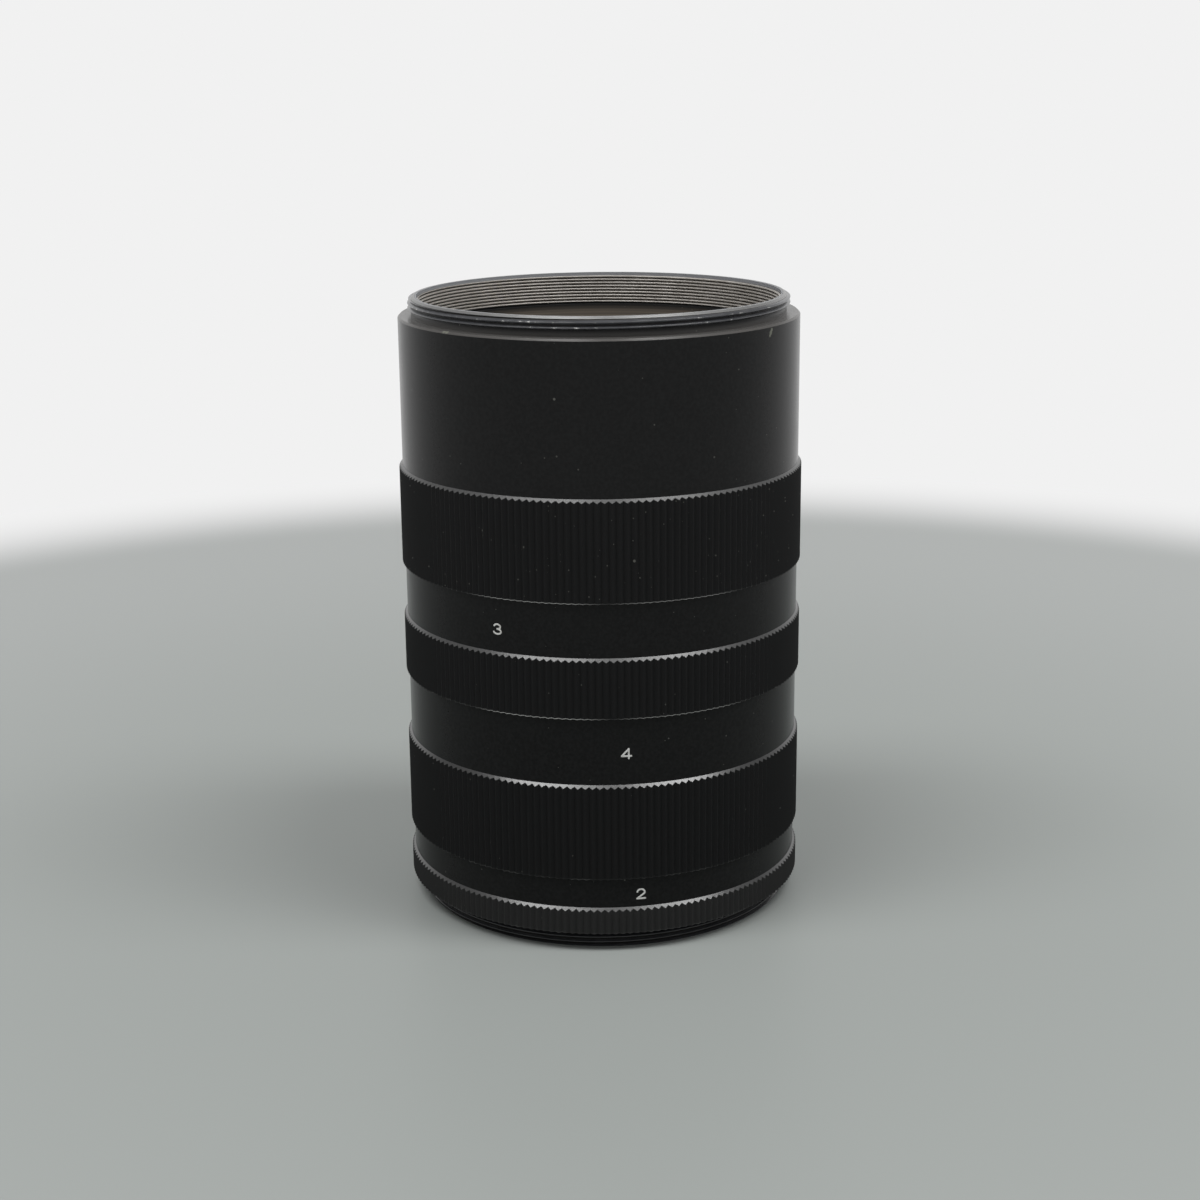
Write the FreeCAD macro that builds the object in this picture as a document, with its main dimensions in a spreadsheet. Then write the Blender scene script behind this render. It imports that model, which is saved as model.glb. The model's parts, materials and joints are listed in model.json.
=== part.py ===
import FreeCAD, Part
import Sketcher
import math
import os

# Macro extension tube: four aluminium tubes that screw into one another.
# Each tube is one turned piece: a smooth barrel, a straight-knurled grip ring at its foot
# and a short spigot under the ring. The ring's underside seats on the rim of the tube
# below, whose mouth takes the spigot. The front tube ends in a collar, not in a mouth.
# The fine threads are left out: a spigot or collar has its thread's core radius, and a
# mouth the radius of its thread's roots.
# Millimetres, +Z up along the optical axis, origin at the centre of the base, which is
# the end of the lowest spigot.

os.makedirs("parts", exist_ok=True)
doc = FreeCAD.newDocument("extension_tube")
sheet = doc.addObject("Spreadsheet::Sheet", "Sizes")

SIZES = {
    # Barrel, grip ring and light path, common to all tubes
    "barrel_radius": 30.0,
    "bore_radius": 26.5,
    "knurl_radius": 30.5,         # tips of the teeth
    "knurl_depth": 0.3,           # tip to root
    "knurl_teeth": 180,
    "ring_overlap": 0.5,          # metal that a ring and its barrel share
    # Screw coupling: spigot below, mouth above
    "coupling_length": 2.8,       # seat to the end of a spigot or of the front collar
    "thread_radius": 28.5,        # crests of the outer thread
    "thread_depth": 0.5,          # crest to core
    "thread_gap": 0.05,           # round the crests, in the mouth
    "mouth_clearance": 0.8,       # past the spigot's end, in the mouth
    # Ring and barrel heights, from the base up
    "two_ring": 4.0,
    "two_barrel": 4.5,
    "four_ring": 14.5,
    "four_barrel": 10.0,
    "three_ring": 9.0,
    "three_barrel": 8.0,
    "front_ring": 15.0,
    "front_barrel": 22.2,
    # Lens end of the front tube
    "shoulder_chamfer": 0.3,
    "rim_chamfer": 0.3,
    "lens_thread_radius": 27.2,   # roots of the inner thread
    "lens_thread_length": 5.0,
}

for row, (alias, number) in enumerate(SIZES.items(), start=1):
    sheet.set(f"A{row}", alias)
    sheet.set(f"B{row}", str(number))
    sheet.setAlias(f"B{row}", alias)
doc.recompute()

# Sums of sizes that several outlines share
BASE = ""
SEAT = "coupling_length"
CORE = "thread_radius - thread_depth"
MOUTH = "thread_radius + thread_gap"


def total(terms):
    """The value of a sum of sizes, such as "thread_radius - thread_depth"."""
    result = 0.0
    sign = 1
    for word in terms.split():
        if word in ("+", "-"):
            sign = 1 if word == "+" else -1
        else:
            result += sign * sheet.get(word)
    return result


def bound(terms):
    """The same sum as an expression on the sheet's cells."""
    words = terms.split()
    return " ".join(word if word in ("+", "-") else "Sizes." + word for word in words)


def spigot_outline():
    """From the bore at the spigot's end round its outside to the seat."""
    return [
        ("bore_radius", BASE),
        (CORE, BASE),
        (CORE, SEAT),
        ("barrel_radius", SEAT),
    ]


def mouth_outline(rim):
    """The rim that a ring seats on, and the mouth inside it, down to the bore."""
    floor = rim + " - coupling_length - mouth_clearance"
    return [
        ("barrel_radius", rim),
        (MOUTH, rim),
        (MOUTH, floor),
        ("bore_radius", floor),
    ]


def collar_outline(shoulder):
    """The lens end: shoulder, collar and rim, then the lens thread down to the bore."""
    rim = shoulder + " + coupling_length"
    thread_end = rim + " - lens_thread_length"
    return [
        ("barrel_radius", shoulder + " - shoulder_chamfer"),
        ("barrel_radius - shoulder_chamfer", shoulder),
        (CORE, shoulder),
        (CORE, rim + " - rim_chamfer"),
        (CORE + " - rim_chamfer", rim),
        ("lens_thread_radius", rim),
        ("lens_thread_radius", thread_end),
        ("bore_radius", thread_end),
    ]


def constrain_corner(sketch, index, corner, radius, height):
    """Ties one corner of an outline to the sheet."""
    across = sketch.addConstraint(Sketcher.Constraint("DistanceX", -1, 1, index, 1, corner.x))
    sketch.setExpression(f"Constraints[{across}]", bound(radius))
    if height == BASE:
        sketch.addConstraint(Sketcher.Constraint("PointOnObject", index, 1, -1))
        return
    up = sketch.addConstraint(Sketcher.Constraint("DistanceY", -1, 1, index, 1, corner.y))
    sketch.setExpression(f"Constraints[{up}]", bound(height))


def turned_body(name, outline):
    """A body turned about Z from a closed outline of (radius, height) corners."""
    body = doc.addObject("PartDesign::Body", name + "_turned")
    plane = next(item for item in body.Origin.OriginFeatures if item.Role == "XZ_Plane")
    sketch = body.newObject("Sketcher::SketchObject", name + "_outline")
    sketch.AttachmentSupport = [(plane, "")]
    sketch.MapMode = "FlatFace"
    corners = [FreeCAD.Vector(total(radius), total(height), 0) for radius, height in outline]
    for start, end in zip(corners, corners[1:] + corners[:1]):
        sketch.addGeometry(Part.LineSegment(start, end), False)
    for index in range(len(corners)):
        following = (index + 1) % len(corners)
        sketch.addConstraint(Sketcher.Constraint("Coincident", index, 2, following, 1))
    for index, (radius, height) in enumerate(outline):
        constrain_corner(sketch, index, corners[index], radius, height)
    turning = body.newObject("PartDesign::Revolution", name + "_turning")
    turning.Profile = sketch
    turning.ReferenceAxis = (sketch, ["V_Axis"])
    turning.Angle = 360
    body.Tip = turning
    return body


def corners_about_axis(count, reaches, height):
    """Evenly turned corners about Z that lie at the given radii in turn."""
    corners = []
    for step in range(count):
        reach = reaches[step % len(reaches)]
        angle = 2 * math.pi * step / count
        corners.append(FreeCAD.Vector(reach * math.cos(angle), reach * math.sin(angle), height))
    return corners


def loop(corners):
    return Part.makePolygon(corners + corners[:1])


def grip_ring(name, ring):
    """The knurled ring: a star-shaped sleeve whose upper edge slopes at 45 degrees.

    The star's corners are the roots and the tips of the V teeth. The slope has one flat
    to a tooth, which meets the barrel at the ring's upper end.
    """
    teeth = int(sheet.get("knurl_teeth"))
    height = total(ring)
    overlap = total("ring_overlap")
    seat = total(SEAT)
    roots_and_tips = (total("knurl_radius - knurl_depth"), total("knurl_radius"))
    hole = total("barrel_radius") - 2 * overlap

    star = loop(corners_about_axis(2 * teeth, roots_and_tips, seat))
    inside = Part.Wire([Part.makeCircle(hole, FreeCAD.Vector(0, 0, seat))])
    section = Part.makeFace([star, inside], "Part::FaceMakerBullseye")
    sleeve = section.extrude(FreeCAD.Vector(0, 0, height + overlap))

    corner_reach = total("barrel_radius") / math.cos(math.pi / teeth)
    wide = loop(corners_about_axis(teeth, (corner_reach + height,), seat))
    narrow = loop(corners_about_axis(teeth, (corner_reach - overlap,), seat + height + overlap))
    slope = Part.makeLoft([wide, narrow], True, True)
    piece = doc.addObject("Part::Feature", name + "_grip_ring")
    piece.Shape = sleeve.common(slope)
    return piece


def tube(name, ring, outline, below):
    """A whole tube, raised by the rings and barrels of the tubes below it."""
    part = doc.addObject("Part::Fuse", name)
    part.Base = turned_body(name, outline)
    part.Tool = grip_ring(name, ring)
    part.Refine = True
    if below:
        part.setExpression("Placement.Base.z", bound(" + ".join(below)))
    return part


# The numbered tubes from the base up, then the front tube
tubes = []
below = []
for number in ("two", "four", "three"):
    ring = number + "_ring"
    barrel = number + "_barrel"
    outline = spigot_outline() + mouth_outline(" + ".join((SEAT, ring, barrel)))
    tubes.append(tube("tube_" + number, ring, outline, below))
    below = below + [ring, barrel]
outline = spigot_outline() + collar_outline(" + ".join((SEAT, "front_ring", "front_barrel")))
tubes.append(tube("front_tube", "front_ring", outline, below))
doc.recompute()

for item in doc.Objects:
    if "Invalid" in item.State or "Error" in item.State:
        raise RuntimeError(f"{item.Label} failed: {item.State}")
for part in tubes:
    if part.Shape.isNull() or not part.Shape.isValid() or len(part.Shape.Solids) != 1:
        raise RuntimeError(f"{part.Label} is not one valid solid")
for part in tubes:
    part.Shape.exportStep(f"parts/{part.Label}.step")
    box = part.Shape.BoundBox
    print(f"{part.Label}: z {box.ZMin:.2f} to {box.ZMax:.2f} mm, {part.Shape.Volume / 1000:.2f} cm3")
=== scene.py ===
# %% [markdown]
# # A set of macro extension tubes, standing on its camera end
#
# Four black anodised aluminium tubes are screwed into one another. Each has a smooth
# barrel, a knurled grip ring at its foot and a short threaded spigot under the ring. The
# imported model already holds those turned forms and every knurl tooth. This script dresses
# them: it winds the fine threads, fills the engraved numbers with white paint, and gives
# each surface its finish.
#
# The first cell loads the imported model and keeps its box, which the dressed model has to
# stay inside.

# %% Load the frame
import json
import math

import bpy
from mathutils import Euler, Matrix, Vector


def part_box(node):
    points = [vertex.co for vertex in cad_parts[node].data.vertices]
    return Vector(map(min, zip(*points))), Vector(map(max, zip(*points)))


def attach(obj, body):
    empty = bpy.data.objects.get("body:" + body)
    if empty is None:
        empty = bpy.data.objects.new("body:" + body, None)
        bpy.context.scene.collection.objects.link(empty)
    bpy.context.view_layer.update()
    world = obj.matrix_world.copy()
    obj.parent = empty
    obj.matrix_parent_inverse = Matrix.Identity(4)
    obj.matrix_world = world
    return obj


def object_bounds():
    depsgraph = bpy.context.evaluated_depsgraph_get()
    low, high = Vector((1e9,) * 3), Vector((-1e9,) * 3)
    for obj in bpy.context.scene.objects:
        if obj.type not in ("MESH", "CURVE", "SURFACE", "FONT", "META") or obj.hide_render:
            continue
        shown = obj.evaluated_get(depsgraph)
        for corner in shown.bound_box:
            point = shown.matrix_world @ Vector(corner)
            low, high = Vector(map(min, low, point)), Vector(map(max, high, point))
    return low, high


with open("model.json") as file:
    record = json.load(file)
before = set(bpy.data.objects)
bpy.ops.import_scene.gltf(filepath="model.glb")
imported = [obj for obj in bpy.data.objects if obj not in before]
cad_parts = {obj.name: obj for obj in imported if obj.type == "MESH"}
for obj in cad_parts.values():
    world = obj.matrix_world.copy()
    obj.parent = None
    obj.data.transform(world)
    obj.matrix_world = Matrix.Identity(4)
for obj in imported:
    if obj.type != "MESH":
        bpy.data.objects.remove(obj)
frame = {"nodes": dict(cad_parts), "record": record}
cad_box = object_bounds()
scene = bpy.context.scene
print("nodes:", sorted(frame["nodes"]))

# %% [markdown]
# ## Sizes
#
# Blender works in metres, and a lathe worker thinks in millimetres, so the sizes are
# written in millimetres and multiplied once. What can be read from the frame is read: the
# heights of each tube's two ends come from its box, and the radii of the coupling and of
# the lens thread come from their mounts in the record.

# %% Driving sizes, in metres
MM = 0.001
PITCH = 0.75 * MM             # coupling thread
LENS_PITCH = 0.5 * MM         # fine thread in the lens end
mounts = {mount["name"]: mount for mount in frame["record"]["mounts"]}
CORE = mounts["lens_collar"]["dims"]["r_mm"] * MM
LENS_ROOT = mounts["lens_thread"]["dims"]["r_mm"] * MM
CREST = CORE + 0.5 * MM       # tips of the coupling's outer thread
MOUTH = CREST + 0.05 * MM     # wall of a mouth, with a little air round those tips
SPIGOT = 2.8 * MM             # length of every spigot and of the collar
BARREL = 30.0 * MM            # radius of the smooth barrels
SLOPE = 0.5 * MM              # the 45 degree edge on top of each grip ring
RING = {
    # tube: height of its grip ring
    "tube_two": 4.0 * MM,
    "tube_four": 14.5 * MM,
    "tube_three": 9.0 * MM,
    "front_tube": 15.0 * MM,
}
base = {name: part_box(name)[0].z for name in frame["nodes"]}
top = {name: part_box(name)[1].z for name in frame["nodes"]}
print("core radius", round(CORE / MM, 2), "lens thread", round(LENS_ROOT / MM, 2))

# %% [markdown]
# ## The camera
#
# The photograph looks down on the tubes by about 15 degrees from 31 cm away. The place and
# the lens were worked out from the ellipses of the rings, whose flatness gives the height
# of the eye and whose sizes give its distance. The camera also leans over by about half a
# degree, so it is turned about its own line of sight first.

# %% Camera
CAMERA_PLACE = Vector((0.0, -309.7, 129.6)) * MM
LOOK_DOWN = 15.24             # degrees below the horizontal
TURN_LEFT = 0.05              # degrees
LEAN = -0.59                  # degrees about the line of sight
SENSOR_WIDTH = 36.0           # millimetres
FOCAL_LENGTH = 62.05          # millimetres
NEAREST = 10 * MM             # nothing closer to the lens is drawn
camera = bpy.data.objects.new("camera", bpy.data.cameras.new("camera"))
scene.collection.objects.link(camera)
camera.data.sensor_width = SENSOR_WIDTH
camera.data.lens = FOCAL_LENGTH
camera.data.clip_start = NEAREST
aim = Euler((math.radians(90 - LOOK_DOWN), 0, math.radians(TURN_LEFT))).to_matrix()
aim = aim @ Matrix.Rotation(math.radians(LEAN), 3, "Z")
camera.matrix_world = Matrix.Translation(CAMERA_PLACE) @ aim.to_4x4()
scene.camera = camera
print("camera lens", camera.data.lens, "mm")

# %% [markdown]
# ## Working in edit mode
#
# A Blender operator acts on all that is selected, and loading the frame leaves the tubes
# selected. So each new piece starts from an empty selection. One more helper picks
# vertices by their place, and another finishes a piece: its faces are turned outwards, and
# its place goes into its mesh, so that the object itself stands at the origin.


# %% Helpers for modelling
def start_clean():
    """Nothing selected, so that a new piece is shaped alone."""
    bpy.ops.object.select_all(action="DESELECT")


def select_vertices(piece, wanted):
    """Selects the vertices of a piece for which wanted(place) is true, in edit mode."""
    bpy.ops.object.mode_set(mode="EDIT")
    bpy.ops.mesh.select_mode(type="VERT")
    bpy.ops.mesh.select_all(action="DESELECT")
    bpy.ops.object.mode_set(mode="OBJECT")
    for vertex in piece.data.vertices:
        vertex.select = wanted(vertex.co)
    bpy.ops.object.mode_set(mode="EDIT")


def settle(smooth_angle):
    """Leaves the active piece at the origin, with outward faces, smooth below an angle."""
    bpy.ops.object.mode_set(mode="EDIT")
    bpy.ops.mesh.select_all(action="SELECT")
    bpy.ops.mesh.normals_make_consistent(inside=False)
    bpy.ops.object.mode_set(mode="OBJECT")
    bpy.ops.object.transform_apply(location=True, rotation=True, scale=True)
    bpy.ops.object.shade_smooth_by_angle(angle=math.radians(smooth_angle))


# %% [markdown]
# ## The section of a ridge
#
# A thread is one ridge that climbs round the tube by its pitch at every turn. Its section
# is a small trapezoid, and it is drawn once. It starts as a plane that stands on edge. The
# side at the crest is squeezed, its two corners are rounded, and the face is deleted,
# because the winding that follows needs the outline alone. The foot sinks slightly into
# the metal, so no gap shows.

# %% Section of a ridge
SINK = 0.04 * MM              # how deep the foot lies in the metal
ROUNDING = 0.3                # share of the crest's width that a rounded corner takes
SAME_PLACE = 1e-6             # metres within which two places count as one


def ridge_section(name, foot, crest, pitch, height, base_share, crest_share):
    """The outline of a ridge from radius foot to radius crest, at the given height."""
    inner = foot - math.copysign(SINK, crest - foot)
    middle = (inner + crest) / 2
    start_clean()
    bpy.ops.mesh.primitive_plane_add(size=1, location=(middle, 0, height), rotation=(math.pi / 2, 0, 0))
    piece = bpy.context.object
    piece.name = name
    piece.data.name = name
    piece.scale = (abs(crest - inner), base_share * pitch, 1)
    bpy.ops.object.transform_apply(location=True, rotation=True, scale=True)

    select_vertices(piece, lambda place: abs(place.x - crest) < SAME_PLACE)
    bpy.ops.transform.resize(value=(1, 1, crest_share / base_share), center_override=(crest, 0, height))
    bpy.ops.mesh.bevel(affect="VERTICES", offset=ROUNDING * crest_share * pitch, segments=2)
    bpy.ops.mesh.select_all(action="SELECT")
    bpy.ops.mesh.delete(type="ONLY_FACE")
    bpy.ops.object.mode_set(mode="OBJECT")
    return piece


# %% [markdown]
# ## Winding and cutting a thread
#
# On a lathe the tool's point travels along the work while it turns. The Screw modifier
# makes the same motion with the section, about the Z axis.
#
# A real thread doesn't fade: it is cut off by the end face of the tube and by the relief
# groove at its root. So the ridge is wound too long at both ends and then cut by two flat
# planes, each cut being filled.


# %% Winding and cutting
def wind(piece, pitch, turns, steps):
    """Winds a section about the Z axis, with so many steps to each turn."""
    winding = piece.modifiers.new("winding", "SCREW")
    winding.axis = "Z"
    winding.angle = 2 * math.pi
    winding.screw_offset = pitch
    winding.iterations = turns
    winding.steps = steps
    winding.render_steps = steps
    bpy.ops.object.modifier_apply(modifier=winding.name)


def cut_off(low, high):
    """Joins the turns of the active ridge, and cuts it flat at both heights."""
    bpy.ops.object.mode_set(mode="EDIT")
    bpy.ops.mesh.select_all(action="SELECT")
    bpy.ops.mesh.remove_doubles(threshold=1e-7)
    for height, below_goes in ((low, True), (high, False)):
        bpy.ops.mesh.select_all(action="SELECT")
        bpy.ops.mesh.bisect(
            plane_co=(0, 0, height), plane_no=(0, 0, 1), use_fill=True,
            clear_inner=below_goes, clear_outer=not below_goes, threshold=1e-8,
        )
    bpy.ops.object.mode_set(mode="OBJECT")


# %% [markdown]
# ## A whole thread
#
# What sets one thread apart from another is its two radii, its pitch, its ends, the widths
# of its ridge, and where it meets the front of the tube, which the photograph shows. The
# section stands on the X axis, to the right, and the ridge climbs for three quarters of a
# turn until it passes the front. So it starts three quarters of a pitch below the wanted
# height, or a quarter above it, which is the same helix.

# %% Thread helper
SPARE_TURNS = 3               # wound beyond the finished length
TURNS_BELOW = 2               # at most so many of them below it
THREAD_SMOOTH = 35            # degrees


def thread(name, body, foot, crest, pitch, low, high, crest_at, base_share, crest_share, steps=144):
    """One helical ridge from radius foot to radius crest, cut off at heights low and high.

    crest_at is a height at which the crest passes the front of the tube. The shares give
    the ridge's width at its foot and at its crest as parts of the pitch. A turn is made of
    so many straight steps.
    """
    turns = math.ceil((high - low) / pitch) + SPARE_TURNS
    quarter = pitch / 4
    front_offset = (crest_at + quarter - low) % pitch
    first = low + front_offset - TURNS_BELOW * pitch
    piece = ridge_section(name, foot, crest, pitch, first, base_share, crest_share)
    wind(piece, pitch, turns, steps)
    cut_off(low, high)
    settle(THREAD_SMOOTH)
    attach(piece, body)
    print(name, len(piece.data.polygons), "faces")
    return piece


# %% [markdown]
# ## The outer threads on the spigots
#
# Every tube screws into the next by the thread on its spigot. Only the lowest spigot shows
# while the set is together, as two fine bright ridges above the table, and the others
# appear when a tube comes off. The ridge reaches the spigot's end face and stops at the
# plain neck under the grip ring, where the tool ran out.

# %% Spigot threads
NECK = 1.0 * MM               # plain length between thread and seat
END_INSET = 0.02 * MM         # the ridge stops just inside the spigot's end face
SPIGOT_CREST = 0.69 * MM      # height of a crest at the front, above the spigot's end
FULL_FOOT = 0.96              # an outer ridge's foot nearly fills its pitch
spigot_threads = []
for node in sorted(frame["nodes"]):
    spigot_threads.append(thread(
        node + "_spigot_thread", node, CORE, CREST, PITCH,
        low=base[node] + END_INSET,
        high=base[node] + SPIGOT - NECK,
        crest_at=base[node] + SPIGOT_CREST,
        base_share=FULL_FOOT,
        crest_share=0.16,
    ))


# %% [markdown]
# ## The collar's thread
#
# The lens end carries the same outer thread as a spigot, on a collar that stands up from
# the shoulder. In the photograph two ridges show at the front, above a plain dark neck.

# %% Collar thread
RIM_EDGE = 0.34 * MM          # plain edge between the last ridge and the rim
COLLAR_CREST = 1.5 * MM       # from the rim down to the lower crest at the front
collar_thread = thread(
    "collar_thread", "front_tube", CORE, CREST, PITCH,
    low=top["front_tube"] - SPIGOT + NECK,
    high=top["front_tube"] - RIM_EDGE,
    crest_at=top["front_tube"] - COLLAR_CREST,
    base_share=FULL_FOOT,
    crest_share=0.2,
)

# %% [markdown]
# ## The threads inside the mouths
#
# The mouth of each numbered tube takes the spigot of the tube above. Its ridge points
# inwards and lies half a pitch away from the spigot's, in the spigot's groove, with a
# little air on all sides.

# %% Mouth threads
MOUTH_CREST = CORE + 0.15 * MM
MOUTH_LEAD_IN = 0.25 * MM     # plain wall between a mouth's rim and its ridge
MOUTH_START = 0.1 * MM        # from the foot of the spigot above up to the ridge
ABOVE = {"tube_two": "tube_four", "tube_four": "tube_three", "tube_three": "front_tube"}
mouth_threads = []
for node, above in ABOVE.items():
    mouth_threads.append(thread(
        node + "_mouth_thread", node, MOUTH, MOUTH_CREST, PITCH,
        low=base[above] + MOUTH_START,
        high=top[node] - MOUTH_LEAD_IN,
        crest_at=base[above] + SPIGOT_CREST + PITCH / 2,
        base_share=0.76,
        crest_share=0.16,
    ))


# %% [markdown]
# ## The lens thread
#
# The fine thread inside the rim is what the eye meets first: nine pale bands parted by
# thin dark lines. The bands are the upper flanks of a sharp thread, which face the light,
# and the lines are its lower flanks. It has half-millimetre pitch and ends above a plain
# undercut, the relief in which the tool ran out.

# %% Lens thread
LENS_CREST = LENS_ROOT - 0.3 * MM
LENS_DEPTH = 5.0 * MM         # from the rim down to the end of the straight wall
UNDERCUT = 0.25 * MM          # plain wall below the last turn
LEAD_IN = 0.5 * MM            # plain pale wall between the rim and the first turn
FIRST_CREST = 0.88 * MM       # from the rim down to the first crest at the front
lens_thread = thread(
    "lens_thread", "front_tube", LENS_ROOT, LENS_CREST, LENS_PITCH,
    low=top["front_tube"] - LENS_DEPTH + UNDERCUT,
    high=top["front_tube"] - LEAD_IN,
    crest_at=top["front_tube"] - FIRST_CREST,
    base_share=FULL_FOOT,
    crest_share=0.18,
    steps=180,
)

# %% [markdown]
# ## The engraved numbers
#
# Three tubes carry a number, cut by a round-ended tool that follows a path, and filled
# with white paint. So every stroke has one width and round ends. A font would give other
# shapes, so each plain digit is drawn as the tool's strokes: straight runs and arcs, in
# millimetres about the digit's middle.


# %% The digits' strokes
def arc(centre, reach, start, end, steps=14):
    """Points along part of an ellipse, angles in degrees from the right, up being positive."""
    points = []
    for step in range(steps + 1):
        angle = math.radians(start + (end - start) * step / steps)
        points.append((centre[0] + reach[0] * math.cos(angle), centre[1] + reach[1] * math.sin(angle)))
    return points


HALF_TALL = 0.72              # from a digit's middle to the middle of its top stroke
STROKES = {
    "2": [
        arc((0, 0.27), (0.55, 0.45), 172, -25),
        [(0.50, 0.08), (-0.60, -HALF_TALL)],
        [(-0.60, -HALF_TALL), (0.62, -HALF_TALL)],
    ],
    "3": [
        arc((0, 0.37), (0.52, 0.35), 165, -90),
        arc((0, -0.35), (0.62, 0.37), 90, -165),
    ],
    "4": [
        [(0.36, -HALF_TALL), (0.36, HALF_TALL)],
        [(0.36, HALF_TALL), (-0.66, -0.36)],
        [(-0.66, -0.36), (0.72, -0.36)],
    ],
}
print("digits:", {digit: len(strokes) for digit, strokes in STROKES.items()}, "strokes")

# %% [markdown]
# ## Strokes as solid bars
#
# A curve with a round section follows each stroke, and a ball rounds each of its ends, as
# the tool does where it enters and leaves the metal.

# %% Bars and balls
STROKE_WIDTH = 0.27           # millimetres
BALL_TURN = (0.1, 0.2, 0.3)   # radians, so that no seam of a ball runs along a bar


def stroke(points):
    """A round bar along the points, in millimetres."""
    path = bpy.data.curves.new("stroke", "CURVE")
    path.dimensions = "3D"
    path.bevel_depth = STROKE_WIDTH / 2
    path.bevel_resolution = 4
    path.use_fill_caps = True
    spline = path.splines.new("POLY")
    spline.points.add(len(points) - 1)
    for point, (across, up) in zip(spline.points, points):
        point.co = (across, up, 0, 1)
    bar = bpy.data.objects.new("stroke", path)
    scene.collection.objects.link(bar)
    start_clean()
    bar.select_set(True)
    bpy.context.view_layer.objects.active = bar
    bpy.ops.object.convert(target="MESH")
    return bpy.context.object


def stroke_end(place):
    """A ball as wide as a stroke."""
    start_clean()
    bpy.ops.mesh.primitive_uv_sphere_add(
        segments=20, ring_count=12, radius=STROKE_WIDTH / 2, location=(*place, 0), rotation=BALL_TURN,
    )
    return bpy.context.object


# %% [markdown]
# ## One skin round a digit
#
# Boolean unions could join the bars and balls, but those of one radius graze each other,
# and that leaves slivers and open edges. A voxel remesh lays one closed skin round them
# all. Its voxels are a ninth of the stroke's width, so the round ends stay round.

# %% Skin of a digit
SKIN_STEP = 0.03              # size of the remesh's voxels, in millimetres


def digit_skin(digit):
    """All strokes of a digit as one closed mesh, in millimetres about its middle."""
    strokes = STROKES[digit]
    pieces = [stroke(points) for points in strokes]
    ends = {end for points in strokes for end in (points[0], points[-1])}
    pieces += [stroke_end(place) for place in sorted(ends)]
    start_clean()
    for part in pieces:
        part.select_set(True)
    piece = pieces[0]
    bpy.context.view_layer.objects.active = piece
    bpy.ops.object.join()
    skin = piece.modifiers.new("skin", "REMESH")
    skin.mode = "VOXEL"
    skin.voxel_size = SKIN_STEP
    bpy.ops.object.modifier_apply(modifier=skin.name)
    return piece


# %% [markdown]
# ## Rolling a number onto its barrel
#
# The skin is flattened to a film and rolled onto the barrel: what lies across the digit
# becomes an angle, and what stands out of it becomes a radius. The paint ends up two
# hundredths of a millimetre proud, and just as deep in the metal.

# %% Number helper
PROUD = 0.02 * MM
NUMBER_SMOOTH = 60            # degrees


def number(node, digit, turn, height):
    """A digit of white paint on a barrel, turned by degrees to the right of the front."""
    piece = digit_skin(digit)
    piece.name = node + "_number"
    piece.data.name = piece.name
    film = 2 * PROUD / (STROKE_WIDTH * MM)
    for vertex in piece.data.vertices:
        across, up, out = vertex.co * MM
        reach = BARREL + out * film
        angle = across / BARREL + math.radians(turn)
        vertex.co = (reach * math.sin(angle), -reach * math.cos(angle), height + up)
    start_clean()
    piece.select_set(True)
    settle(NUMBER_SMOOTH)
    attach(piece, node)
    print(piece.name, len(piece.data.polygons), "faces")
    return piece


# %% Numbers
NUMBERS = {
    # tube: digit, degrees to the right of the front, height of its middle
    "tube_two": ("2", 10.2, 8.75 * MM),
    "tube_four": ("4", 6.3, 30.50 * MM),
    "tube_three": ("3", -29.9, 48.17 * MM),
}
numbers = [number(node, *facts) for node, facts in NUMBERS.items()]

# %% [markdown]
# ## Building a finish from nodes
#
# A finish is a small graph: numbers and colours run from node to node and end in the
# sockets of the shader. Each helper makes one node of it. What goes into a node may be a
# plain number, a plain colour or the output of another node, and feed tells them apart.


# %% Materials, sums and mixes
def new_material(name):
    """An empty node material with a Principled shader, and its tree."""
    material = bpy.data.materials.new(name)
    material.use_nodes = True
    tree = material.node_tree
    tree.nodes.clear()
    output = tree.nodes.new("ShaderNodeOutputMaterial")
    shader = tree.nodes.new("ShaderNodeBsdfPrincipled")
    tree.links.new(shader.outputs["BSDF"], output.inputs["Surface"])
    return material, tree, shader


def feed(tree, socket, value):
    """Gives a socket a plain number, a plain colour or another node's output."""
    if isinstance(value, bpy.types.NodeSocket):
        tree.links.new(value, socket)
    elif isinstance(value, tuple):
        socket.default_value = (*value, 1)
    else:
        socket.default_value = value


def calculate(tree, operation, *values):
    """The result of a Math node."""
    node = tree.nodes.new("ShaderNodeMath")
    node.operation = operation
    for socket, value in zip(node.inputs, values):
        feed(tree, socket, value)
    return node.outputs["Value"]


def mix_colour(tree, share, first, second):
    """Two colours mixed by a mask."""
    node = tree.nodes.new("ShaderNodeMix")
    node.data_type = "RGBA"
    feed(tree, node.inputs["Factor"], share)
    feed(tree, node.inputs[6], first)
    feed(tree, node.inputs[7], second)
    return node.outputs[2]


def mix_number(tree, share, first, second):
    """Two numbers mixed by a mask."""
    node = tree.nodes.new("ShaderNodeMix")
    node.data_type = "FLOAT"
    feed(tree, node.inputs["Factor"], share)
    feed(tree, node.inputs[2], first)
    feed(tree, node.inputs[3], second)
    return node.outputs[0]


# %% [markdown]
# ## Where a point lies
#
# All finishes read Object coordinates, because each tube's object stands at the origin
# with its place in its mesh. Two facts about a point say almost all: how far it is from
# the axis and how high it is. The helpers below give both in millimetres, and masks that
# are one inside a band and fade to zero outside it. A fade is written as the two values
# between which it runs, so the small numbers further down are the edges of such fades.


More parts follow.
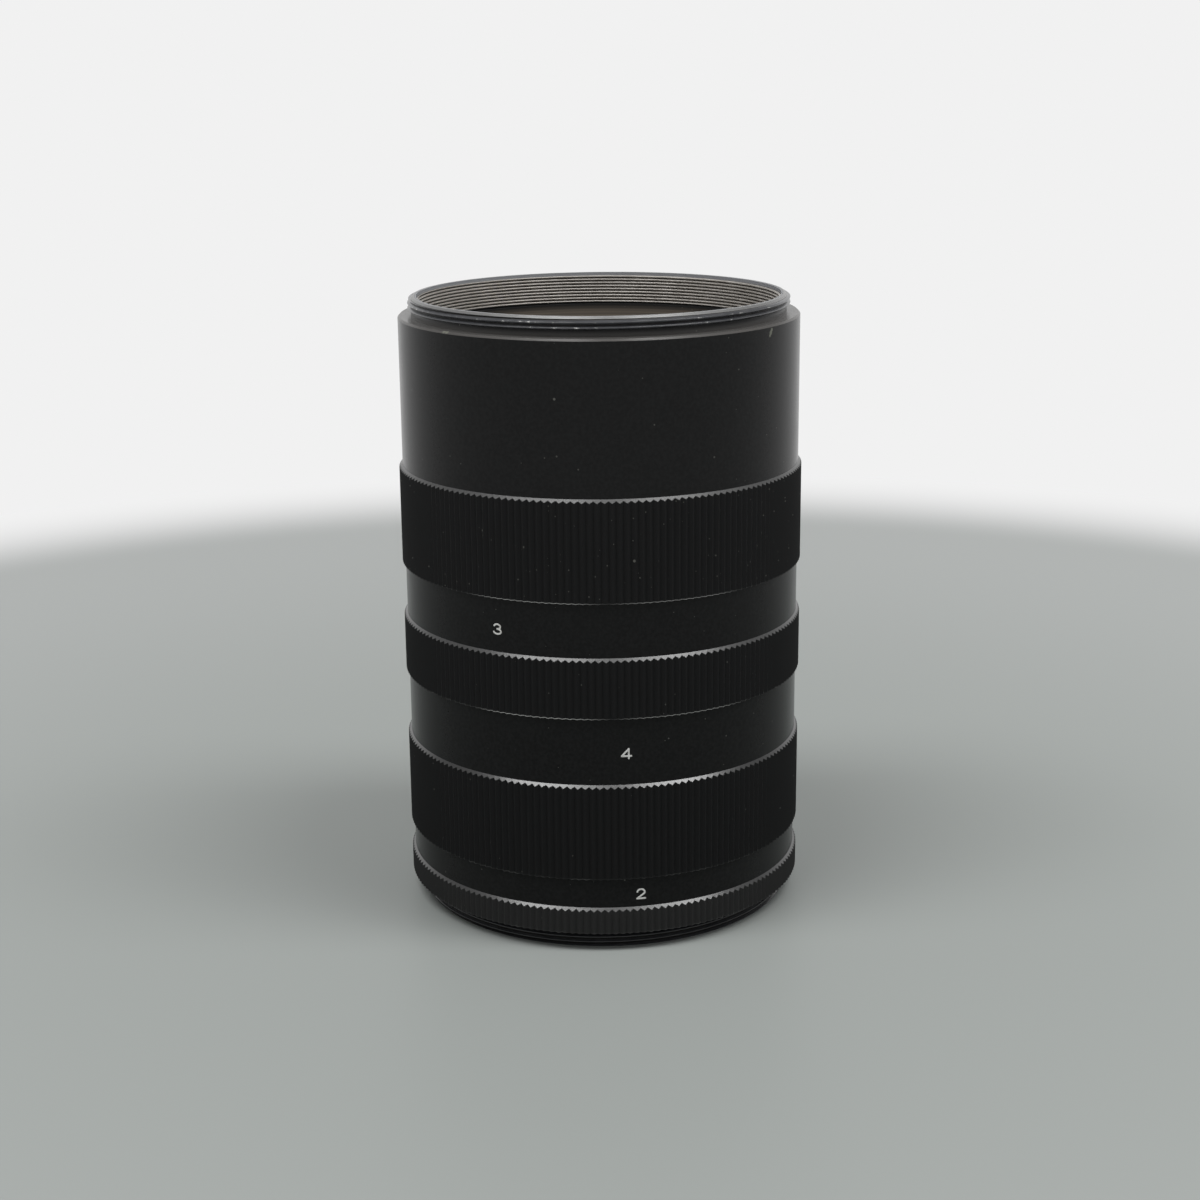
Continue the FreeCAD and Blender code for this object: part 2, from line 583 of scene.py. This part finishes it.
# %% Places and masks
def place_in_mm(tree):
    """The point, in millimetres."""
    coordinates = tree.nodes.new("ShaderNodeTexCoord")
    scaled = tree.nodes.new("ShaderNodeVectorMath")
    scaled.operation = "SCALE"
    scaled.inputs["Scale"].default_value = 1 / MM
    tree.links.new(coordinates.outputs["Object"], scaled.inputs[0])
    return scaled.outputs["Vector"]


def radius_and_height(tree, place):
    """How far a point is from the axis, and how high it is."""
    parts = tree.nodes.new("ShaderNodeSeparateXYZ")
    tree.links.new(place, parts.inputs["Vector"])
    across = calculate(tree, "POWER", parts.outputs["X"], 2)
    along = calculate(tree, "POWER", parts.outputs["Y"], 2)
    return calculate(tree, "SQRT", calculate(tree, "ADD", across, along)), parts.outputs["Z"]


def rise(tree, value, start, end):
    """A mask that climbs from 0 at start to 1 at end."""
    node = tree.nodes.new("ShaderNodeMapRange")
    node.interpolation_type = "SMOOTHSTEP"
    feed(tree, node.inputs["Value"], value)
    feed(tree, node.inputs["From Min"], start)
    feed(tree, node.inputs["From Max"], end)
    return node.outputs["Result"]


def band(tree, value, low, high, soft):
    """A mask that is 1 between low and high and fades out over soft."""
    up = rise(tree, value, low - soft, low)
    down = rise(tree, value, high + soft, high)
    return calculate(tree, "MULTIPLY", up, down)


def both(tree, first, second):
    """A mask that is 1 only where both of two masks are."""
    return calculate(tree, "MULTIPLY", first, second)


# %% [markdown]
# ## Patterns
#
# Wear and dust are uneven. Noise gives clouds and a fine grain, the cells of a Voronoi
# pattern scatter dust, and a mask round one point puts a scuff where the photograph has
# one.


# %% Patterns
def noise(tree, place, size, detail=2.0, rough=0.5):
    """Noise with features of about the given size in millimetres."""
    node = tree.nodes.new("ShaderNodeTexNoise")
    tree.links.new(place, node.inputs["Vector"])
    node.inputs["Scale"].default_value = 1 / size
    node.inputs["Detail"].default_value = detail
    node.inputs["Roughness"].default_value = rough
    return node.outputs["Fac"]


def specks(tree, place, spacing, size, strength):
    """Scattered round specks of all sizes up to the given one, in millimetres.

    Each cell of the pattern has a random number, whose square shrinks its speck, so that
    most are too small to see and a few are large.
    """
    node = tree.nodes.new("ShaderNodeTexVoronoi")
    tree.links.new(place, node.inputs["Vector"])
    node.inputs["Scale"].default_value = 1 / spacing
    chance = tree.nodes.new("ShaderNodeSeparateColor")
    tree.links.new(node.outputs["Color"], chance.inputs["Color"])
    share = calculate(tree, "POWER", chance.outputs["Red"], 2)
    reach = calculate(tree, "MULTIPLY", share, size / 2 / spacing)
    inner_reach = calculate(tree, "MULTIPLY", reach, 0.6)
    return calculate(tree, "MULTIPLY", rise(tree, node.outputs["Distance"], reach, inner_reach), strength)


def spot(tree, place, turn, height, reach, size, strength):
    """A mask round one point: degrees right of the front, height and radius in millimetres."""
    angle = math.radians(turn)
    node = tree.nodes.new("ShaderNodeVectorMath")
    node.operation = "DISTANCE"
    tree.links.new(place, node.inputs[0])
    node.inputs[1].default_value = (reach * math.sin(angle), -reach * math.cos(angle), height)
    return calculate(tree, "MULTIPLY", rise(tree, node.outputs["Value"], size / 2, 0.2 * size), strength)


# %% [markdown]
# ## The anodised finish of the tubes
#
# The tubes were blasted, turned and dyed black, and they have been used. On one tube the
# eye meets a satin barrel, a duller knurled ring, a smooth pale slope on top of the ring,
# a browner inside with painted shade at its top, worn edges with painted highlights, a
# shoulder with a painted sheen, and dust. One material per tube makes all of them, with
# masks by radius and height, because the tube is one piece of metal and its mesh is left
# as it is. The reflection seen head-on is kept low, as dyed anodising drinks most light,
# and still rises towards the edge of the barrel.

# %% Colours
SATIN_BLACK = (0.0080, 0.0082, 0.0083)
SATIN_GREY = (0.0125, 0.0127, 0.0128)
RING_BLACK = (0.0065, 0.0067, 0.0070)
RING_GREY = (0.024, 0.024, 0.024)
# painted sheen on the shoulder and the foot of its neck
SHOULDER_SHEEN_GREY = (0.095, 0.091, 0.087)
BORE_GREY = (0.150, 0.133, 0.114)
BORE_BROWN = (0.250, 0.210, 0.167)
# painted shade: black at the end of a thread, fading out down the bore
UNDERCUT_SHADE_BLACK = (0.030, 0.030, 0.030)
# the rim's grey: partly worn metal, partly a painted highlight
RIM_WEAR_AND_HIGHLIGHT_GREY = (0.17, 0.17, 0.17)
LEAD_IN_GREY = (0.34, 0.35, 0.37)
BARE_METAL = (0.42, 0.42, 0.41)
SCUFF_GREY = (0.30, 0.31, 0.25)
DUST_GREY = (0.22, 0.22, 0.20)

# %% Roughness and shine
BARREL_ROUGHNESS = 0.21
RING_ROUGHNESS = 0.50
BORE_ROUGHNESS = 0.40
CUT_ROUGHNESS = 0.32          # edges that were cut after blasting
DUST_ROUGHNESS = 0.90
BARREL_SHINE = 0.066
RING_SHINE = 0.090
SHOULDER_CUT = 0.38           # how far the shoulder has the shine of a cut edge
OXIDE_IOR = 1.7               # aluminium oxide
SLOPES = {
    # tube: grey of the cut slope, and how much it shines
    "front_tube": (0.095, 0.27),
    "tube_three": (0.067, 0.48),
    "tube_four": (0.016, 0.82),
    "tube_two": (0.032, 0.74),
}

# %% [markdown]
# ## The grip ring
#
# Its teeth stand out of the barrel, so a mask by radius finds them. The slope above them
# is a cone: a point of it lies as far out of the barrel as it lies below the ring's top.
# Hands and tables have rubbed the ring's lower edge to bare metal in a thin line. At a few
# places near the front that line is brightened into painted highlights.

# %% Ring masks, wear and painted highlights
BARREL_MM = BARREL / MM
TIPS_MM = (BARREL + SLOPE) / MM
SOFT = 0.02                   # fade at the edge of a mask, in millimetres
EDGE_HIGHLIGHT_LENGTH = 24            # millimetres along the ring
# painted highlights along the lower edge of a ring, at two places near the front
EDGE_HIGHLIGHTS = {
    # tube: degrees right of the front and amount, along the lower edge of its ring
    "front_tube": ((-19, 0.75), (21, 0.55)),
    "tube_three": ((-18, 1.0), (23, 0.7)),
}


def ring_masks(tree, radius, height, ring_low, ring_top):
    """The teeth of a grip ring, and the slope on top of them."""
    on_ring = both(
        tree,
        rise(tree, radius, BARREL_MM + SOFT, BARREL_MM + 0.08),
        band(tree, height, ring_low, ring_top, SOFT),
    )
    drop = calculate(tree, "SUBTRACT", ring_top, height)
    out = calculate(tree, "SUBTRACT", radius, BARREL_MM)
    on_slope = both(
        tree,
        rise(tree, calculate(tree, "SUBTRACT", out, drop), -0.09, -0.03),
        band(tree, height, ring_top - SLOPE / MM - SOFT, ring_top - 0.01, SOFT),
    )
    return on_ring, on_slope


def ring_wear_and_highlights(tree, node, place, radius, height, ring_low, patchy):
    """A thin line of bare metal along the lower edge of a ring, brightened at a few places into painted
    highlights.
    """
    low_edge = both(
        tree,
        band(tree, height, ring_low - SOFT, ring_low + 0.08, 0.04),
        rise(tree, radius, BARREL_MM + 0.08, BARREL_MM + 0.22),
    )
    wear_and_highlight = calculate(tree, "MULTIPLY_ADD", rise(tree, patchy, 0.46, 0.72), 0.15, 0.03)
    # painted highlights at a few places, over the thin line of bare metal
    for turn, amount in EDGE_HIGHLIGHTS.get(node, ()):
        edge_highlight = spot(tree, place, turn, ring_low, TIPS_MM, EDGE_HIGHLIGHT_LENGTH, amount)
        wear_and_highlight = calculate(tree, "MAXIMUM", wear_and_highlight, edge_highlight)
    return both(tree, low_edge, wear_and_highlight)


# %% [markdown]
# ## The bore
#
# The inside was turned and not blasted, so fine lines run round it, and its dye has faded
# to brown. Noise that changes with the height alone draws such lines. The wall behind the
# lens thread is painted black as painted shade, and so is the start of every bore, where the
# painted shade fades out over a short way down.

# %% Bore
MOUTH_DEPTH = SPIGOT + 0.8 * MM   # the mouth goes on past the spigot's end
SHADE_FADE = 1.4                  # millimetres over which the black fades out


def bore_colour(tree, height, thread_end):
    """Fine turning lines down a faded bore, under painted shade that starts black at the end of its
    thread.
    """
    line_place = tree.nodes.new("ShaderNodeCombineXYZ")
    tree.links.new(height, line_place.inputs["Z"])
    lines = noise(tree, line_place.outputs["Vector"], 0.3, detail=3.0, rough=0.6)
    faded = mix_colour(tree, rise(tree, lines, 0.35, 0.65), BORE_GREY, BORE_BROWN)
    # painted shade: black at the end of the thread, fading out down the bore
    painted_shade = rise(tree, height, thread_end - SHADE_FADE, thread_end)
    return mix_colour(tree, painted_shade, faded, UNDERCUT_SHADE_BLACK)


# %% [markdown]
# ## The lens end
#
# The front tube has three surfaces that the others lack: a pale worn rim, made paler still
# as a painted highlight, the paler wall just inside it, above the lens thread, and a shoulder
# with a plain neck, painted greyer than the barrel as a painted sheen that fades out up the
# neck. A few scuffs lie on the edge of the shoulder and just below it.

# %% Lens end masks and scuffs
SHOULDER_CHAMFER = 0.3 * MM
SCUFF_STRENGTH = 0.5
SCUFFS = (
    # degrees right of the front, height, radius and size in millimetres
    (-46.8, 89.98, 29.80, 0.8),
    (-45.6, 89.99, 29.75, 0.9),
    (54.6, 89.35, 30.0, 0.7),
    (54.1, 88.95, 30.0, 0.9),
    (53.7, 88.55, 30.0, 0.6),
)


def lens_end_masks(tree, radius, height):
    """The rim, paler for bare metal and a painted highlight, the wall just inside it, and the shoulder
    with the foot of its neck, which has a painted sheen.
    """
    rim = top["front_tube"] / MM
    shoulder = rim - SPIGOT / MM
    wall = LENS_ROOT / MM
    edge_low = rim - RIM_EDGE / MM
    on_rim = both(
        tree,
        rise(tree, radius, wall + 0.1, wall + 0.3),
        rise(tree, height, edge_low, edge_low + 0.06),
    )
    lead_in_low = rim - LEAD_IN / MM
    on_lead_in = both(
        tree,
        band(tree, radius, wall - 0.05, wall + 0.1, 0.05),
        rise(tree, height, lead_in_low - 0.03, lead_in_low + 0.03),
    )
    chamfer_low = shoulder - SHOULDER_CHAMFER / MM
    on_shoulder = both(
        tree,
        rise(tree, height, chamfer_low - 0.01, chamfer_low + 0.03),
        rise(tree, height, shoulder + NECK / MM - 0.05, shoulder + 0.05),
    )
    outside = rise(tree, radius, CORE / MM - 0.3, CORE / MM - 0.1)
    return on_rim, on_lead_in, both(tree, on_shoulder, outside)


def lens_end_colour(tree, place, masks, colour):
    """The greys of the lens end and its scuffs, over the colour of the barrel."""
    on_rim, on_lead_in, on_shoulder = masks
    # painted sheen on the shoulder, fading out up the neck
    colour = mix_colour(tree, on_shoulder, colour, SHOULDER_SHEEN_GREY)
    # the rim's grey, partly a painted highlight
    colour = mix_colour(tree, on_rim, colour, RIM_WEAR_AND_HIGHLIGHT_GREY)
    colour = mix_colour(tree, on_lead_in, colour, LEAD_IN_GREY)
    for turn, height, reach, size in SCUFFS:
        scuff = spot(tree, place, turn, height, reach, size, SCUFF_STRENGTH)
        colour = mix_colour(tree, scuff, colour, SCUFF_GREY)
    return colour


# %% [markdown]
# ## Dust
#
# Many faint grains and a few larger flecks lie on every tube. The teeth of the front
# tube's ring have caught a fine powder as well.

# %% Dust
# spacing and largest size in millimetres, and strength
GRAINS = (1.5, 0.32, 0.32)
FLECKS = (5.3, 0.65, 0.55)
POWDER = (0.9, 0.30, 0.38)


def dust(tree, node, place, on_ring):
    """How much dust covers each point of a tube."""
    dusty = calculate(tree, "MAXIMUM", specks(tree, place, *GRAINS), specks(tree, place, *FLECKS))
    if node == "front_tube":
        powder = both(tree, specks(tree, place, *POWDER), on_ring)
        dusty = calculate(tree, "MAXIMUM", dusty, powder)
    return dusty


# %% [markdown]
# ## One tube's finish
#
# The colour is laid on in the order in which the surface came about: the dye with painted
# shade at the top of the bore, the cut edges, the wear with painted highlights and the
# shoulder's painted sheen, and at last the dust. The roughness follows the same masks. A
# slight bump stands for the blasted grain, which is far too fine to model.

# %% Tube finish
GRAIN_DEPTH = 0.003 * MM
GRAIN_STRENGTH = 0.5


def tube_finish(node):
    """The finish of one tube, from its own heights."""
    material, tree, shader = new_material(node + "_anodised")
    place = place_in_mm(tree)
    radius, height = radius_and_height(tree, place)
    ring_low = (base[node] + SPIGOT) / MM
    ring_top = ring_low + RING[node] / MM
    thread_depth = LENS_DEPTH if node == "front_tube" else MOUTH_DEPTH
    slope_grey, slope_shine = SLOPES[node]
    on_ring, on_slope = ring_masks(tree, radius, height, ring_low, ring_top)
    inside = rise(tree, radius, LENS_ROOT / MM + 0.35, LENS_ROOT / MM + 0.15)
    fine = noise(tree, place, 0.5, detail=3.0)
    cloudy = noise(tree, place, 7.0, detail=3.0)
    patchy = noise(tree, place, 3.0, detail=4.0, rough=0.6)

    # The dyed metal, with painted shade at the top of each bore
    colour = mix_colour(tree, rise(tree, fine, 0.3, 0.72), SATIN_BLACK, SATIN_GREY)
    colour = mix_colour(tree, on_ring, colour, RING_GREY if node == "tube_two" else RING_BLACK)
    bore = bore_colour(tree, height, (top[node] - thread_depth) / MM)
    colour = mix_colour(tree, inside, colour, bore)
    colour = mix_colour(tree, on_slope, colour, (slope_grey, slope_grey, slope_grey))

    # Cut edges, wear, painted highlights and painted sheen
    cut = on_slope
    bare_metal_share = ring_wear_and_highlights(tree, node, place, radius, height, ring_low, patchy)
    if node == "front_tube":
        masks = lens_end_masks(tree, radius, height)
        on_rim, _, on_shoulder = masks
        colour = lens_end_colour(tree, place, masks, colour)
        # the rim's bare metal, raised further as a painted highlight
        rim_wear_and_highlight = both(tree, on_rim, calculate(tree, "MULTIPLY_ADD", patchy, 0.3, 0.10))
        bare_metal_share = calculate(tree, "MAXIMUM", bare_metal_share, rim_wear_and_highlight)
        soft_shoulder = calculate(tree, "MULTIPLY", on_shoulder, SHOULDER_CUT)
        cut = calculate(tree, "MAXIMUM", cut, calculate(tree, "MAXIMUM", soft_shoulder, on_rim))
    colour = mix_colour(tree, bare_metal_share, colour, BARE_METAL)
    dusty = dust(tree, node, place, on_ring)
    colour = mix_colour(tree, dusty, colour, DUST_GREY)
    tree.links.new(colour, shader.inputs["Base Color"])
    tree.links.new(bare_metal_share, shader.inputs["Metallic"])

    # Roughness and shine
    roughness = mix_number(tree, on_ring, BARREL_ROUGHNESS, RING_ROUGHNESS)
    roughness = mix_number(tree, inside, roughness, BORE_ROUGHNESS)
    roughness = mix_number(tree, cut, roughness, CUT_ROUGHNESS)
    roughness = mix_number(tree, dusty, roughness, DUST_ROUGHNESS)
    uneven = calculate(tree, "MULTIPLY_ADD", cloudy, 0.08, -0.04)
    tree.links.new(calculate(tree, "ADD", roughness, uneven), shader.inputs["Roughness"])
    level = mix_number(tree, on_ring, BARREL_SHINE, RING_SHINE)
    tree.links.new(mix_number(tree, cut, level, slope_shine), shader.inputs["Specular IOR Level"])
    shader.inputs["IOR"].default_value = OXIDE_IOR

    # The blasted grain
    grain = tree.nodes.new("ShaderNodeBump")
    grain.inputs["Strength"].default_value = GRAIN_STRENGTH
    grain.inputs["Distance"].default_value = GRAIN_DEPTH
    tree.links.new(fine, grain.inputs["Height"])
    tree.links.new(grain.outputs["Normal"], shader.inputs["Normal"])
    return material


for name, node in frame["nodes"].items():
    node.material_slots[0].material = tube_finish(name)
print("tube finishes:", len(frame["nodes"]))

# %% [markdown]
# ## The finish of the threads
#
# Threads are cut with a sharp tool, so they shine more than the blasted barrel. Their
# crests rub against the mating thread each time the tubes are joined, which wears the dye
# off in specks, most of all on the collar. The dye on the lens thread has faded, and the
# pale metal shines through it: that is a metal shader with a dull warm colour.

# %% Thread finish
THREAD_SHINE = 0.7


def thread_finish(name, colours, foot, crest, wear_from, roughness, metal):
    """A cut thread: a colour of its own at its foot, and a crest that goes to bare metal in specks where
    the noise is high.
    """
    tint, dark, light = colours
    material, tree, shader = new_material(name)
    place = place_in_mm(tree)
    radius, _ = radius_and_height(tree, place)
    depth = crest - foot
    near_foot = rise(tree, radius, (foot + 0.35 * depth) / MM, (foot + 0.1 * depth) / MM)
    on_crest = rise(tree, radius, (foot + 0.7 * depth) / MM, crest / MM)
    patchy = noise(tree, place, 1.3, detail=5.0, rough=0.7)
    bare_metal_share = both(tree, on_crest, rise(tree, patchy, wear_from, wear_from + 0.08))
    fine = noise(tree, place, 2.5)
    colour = mix_colour(tree, rise(tree, fine, 0.3, 0.7), dark, light)
    colour = mix_colour(tree, near_foot, colour, tint)
    tree.links.new(mix_colour(tree, bare_metal_share, colour, BARE_METAL), shader.inputs["Base Color"])
    metal_off_foot = calculate(tree, "MULTIPLY", calculate(tree, "SUBTRACT", 1.0, near_foot), metal)
    tree.links.new(mix_number(tree, bare_metal_share, metal_off_foot, 1.0), shader.inputs["Metallic"])
    shade = calculate(tree, "MULTIPLY_ADD", fine, 0.10, roughness)
    tree.links.new(shade, shader.inputs["Roughness"])
    shader.inputs["Specular IOR Level"].default_value = THREAD_SHINE
    return material


# %% Threads dressed
# colour at the foot, darker and lighter metal
DYED = ((0.030, 0.028, 0.026), (0.028, 0.029, 0.032), (0.040, 0.041, 0.044))
RUBBED = ((0.060, 0.058, 0.056), (0.052, 0.054, 0.060), (0.070, 0.072, 0.078))
FADED = ((0.030, 0.028, 0.026), (0.54, 0.51, 0.47), (0.62, 0.59, 0.55))
spigot_finish = thread_finish(
    "spigot_thread", DYED, CORE, CREST, wear_from=0.66, roughness=0.18, metal=0.0,
)
collar_finish = thread_finish(
    "collar_thread", RUBBED, CORE, CREST, wear_from=0.57, roughness=0.18, metal=0.0,
)
mouth_finish = thread_finish(
    "mouth_thread", DYED, MOUTH, MOUTH_CREST, wear_from=0.66, roughness=0.28, metal=0.0,
)
lens_finish = thread_finish(
    "lens_thread", FADED, LENS_ROOT, LENS_CREST, wear_from=0.80, roughness=0.44, metal=0.60,
)
for piece in spigot_threads:
    piece.data.materials.append(spigot_finish)
for piece in mouth_threads:
    piece.data.materials.append(mouth_finish)
collar_thread.data.materials.append(collar_finish)
lens_thread.data.materials.append(lens_finish)
print("threads dressed:", len(spigot_threads) + len(mouth_threads) + 2)

# %% [markdown]
# ## The paint in the numbers
#
# The paint is a warm white with a little dirt in it, and dull, because it lies in a cut
# that was rubbed clean.

# %% Paint
PAINT_WHITE = (0.80, 0.80, 0.78)
PAINT_DIRT = (0.52, 0.51, 0.48)
PAINT_ROUGHNESS = 0.6
paint, tree, shader = new_material("engraving_paint")
tint = rise(tree, noise(tree, place_in_mm(tree), 0.5, detail=4.0, rough=0.6), 0.45, 0.75)
tree.links.new(mix_colour(tree, tint, PAINT_WHITE, PAINT_DIRT), shader.inputs["Base Color"])
shader.inputs["Roughness"].default_value = PAINT_ROUGHNESS
for piece in numbers:
    piece.data.materials.append(paint)
print("numbers painted:", len(numbers))

# %% [markdown]
# ## The floor
#
# The tubes stand on a plain pale grey floor that fades to white a little way off, so that
# from any side the lower part of the picture is grey and the upper part white, as in the
# photograph. The floor is a disc: a plane would show its corners.
#
# Where it is white it also glows, but only as the camera, reflections and glass see it. A
# dull surface gets no light from that glow.

# %% Floor disc
FLOOR_RADIUS = 3.0            # metres
start_clean()
bpy.ops.mesh.primitive_circle_add(
    vertices=96, radius=FLOOR_RADIUS, fill_type="NGON", location=(0, 0, 0),
)
floor = bpy.context.object
floor.name = "floor"
print("floor radius", FLOOR_RADIUS, "m")

# %% Floor finish
NEAR_GREY = (0.385, 0.410, 0.395)
MIDDLE_GREY = (0.50, 0.52, 0.51)
BACKDROP = (0.88, 0.88, 0.88)
GREY_RUN = (60, 270)          # millimetres from the axis, from near grey to middle grey
WHITE_RUN = (245, 315)        # and from there to the backdrop's white
FLOOR_ROUGHNESS = 0.45
FLOOR_SHINE = 0.3


def seen_directly(tree):
    """1 for the rays of the camera, of reflections and through glass."""
    rays = tree.nodes.new("ShaderNodeLightPath")
    either = calculate(tree, "MAXIMUM", rays.outputs["Is Camera Ray"], rays.outputs["Is Glossy Ray"])
    return calculate(tree, "MAXIMUM", either, rays.outputs["Is Transmission Ray"])


cover, tree, shader = new_material("floor")
radius, _ = radius_and_height(tree, place_in_mm(tree))
near = mix_colour(tree, rise(tree, radius, *GREY_RUN), NEAR_GREY, MIDDLE_GREY)
far = rise(tree, radius, *WHITE_RUN)
tree.links.new(mix_colour(tree, far, near, BACKDROP), shader.inputs["Base Color"])
shader.inputs["Roughness"].default_value = FLOOR_ROUGHNESS
shader.inputs["Specular IOR Level"].default_value = FLOOR_SHINE
white = tree.nodes.new("ShaderNodeEmission")
white.inputs["Color"].default_value = (*BACKDROP, 1)
blend = tree.nodes.new("ShaderNodeMixShader")
tree.links.new(calculate(tree, "MULTIPLY", far, seen_directly(tree)), blend.inputs["Fac"])
tree.links.new(shader.outputs["BSDF"], blend.inputs[1])
tree.links.new(white.outputs["Emission"], blend.inputs[2])
tree.links.new(blend.outputs["Shader"], tree.nodes["Material Output"].inputs["Surface"])
floor.data.materials.append(cover)
print("floor white from", WHITE_RUN[1], "mm")

# %% [markdown]
# ## The world
#
# The world fills in from all sides with a weak white light. What the camera and mirror-like
# rays see of it is something else: a white backdrop, which the black barrels pick up along
# their edges, under a grey ceiling, which leaves the slopes dark beside their highlights.
# The camera itself sees no ceiling.

# %% World
CEILING = (0.22, 0.22, 0.22)
CEILING_RUN = (0.32, 0.48)    # upward share of a direction, from backdrop to ceiling
FILL_STRENGTH = 0.31
world = bpy.data.worlds.new("studio")
scene.world = world
world.use_nodes = True
tree = world.node_tree
tree.nodes.clear()
seen = tree.nodes.new("ShaderNodeBackground")
direction = tree.nodes.new("ShaderNodeTexCoord")
parts = tree.nodes.new("ShaderNodeSeparateXYZ")
tree.links.new(direction.outputs["Object"], parts.inputs["Vector"])
rays = tree.nodes.new("ShaderNodeLightPath")
reflected = calculate(tree, "SUBTRACT", 1.0, rays.outputs["Is Camera Ray"])
overhead = both(tree, rise(tree, parts.outputs["Z"], *CEILING_RUN), reflected)
tree.links.new(mix_colour(tree, overhead, BACKDROP, CEILING), seen.inputs["Color"])
fill = tree.nodes.new("ShaderNodeBackground")
fill.inputs["Color"].default_value = (1, 1, 1, 1)
fill.inputs["Strength"].default_value = FILL_STRENGTH
choice = tree.nodes.new("ShaderNodeMixShader")
tree.links.new(seen_directly(tree), choice.inputs["Fac"])
tree.links.new(fill.outputs["Background"], choice.inputs[1])
tree.links.new(seen.outputs["Background"], choice.inputs[2])
output = tree.nodes.new("ShaderNodeOutputWorld")
tree.links.new(choice.outputs["Shader"], output.inputs["Surface"])
print("world fill", FILL_STRENGTH)

# %% [markdown]
# ## The soft boxes
#
# Two soft boxes hang nearly overhead, left and right. The 45 degree slopes of the rings
# face the camera and the ceiling equally, so each soft box draws a highlight on them. The
# wider the box, the longer the highlight.

# %% Soft boxes
BOX_DISTANCE = 0.9            # metres from the middle of the tubes
BOX_WIDE = 0.52
BOX_DEEP = 0.26
BOX_WATTS = 3.39
BOXES = {
    # box: its direction from the middle of the tubes
    "left_box": (-0.345, -0.240, 0.907),
    "right_box": (0.440, -0.190, 0.878),
}


def soft_box(name, direction):
    """A wide lamp that looks at the middle of the tubes, its long side across the view."""
    lamp = bpy.data.objects.new(name, bpy.data.lights.new(name, "AREA"))
    scene.collection.objects.link(lamp)
    lamp.data.shape = "RECTANGLE"
    lamp.data.size = BOX_WIDE
    lamp.data.size_y = BOX_DEEP
    lamp.data.energy = BOX_WATTS
    middle = (cad_box[0] + cad_box[1]) / 2
    toward = Vector(direction).normalized()
    upward = toward.cross(Vector((1, 0, 0))).normalized()
    across = upward.cross(toward)
    turn = Matrix((across, upward, toward)).transposed()
    lamp.matrix_world = Matrix.Translation(middle + BOX_DISTANCE * toward) @ turn.to_4x4()


for name, direction in BOXES.items():
    soft_box(name, direction)
scene.view_settings.view_transform = "Standard"
print("lamps:", len(BOXES))
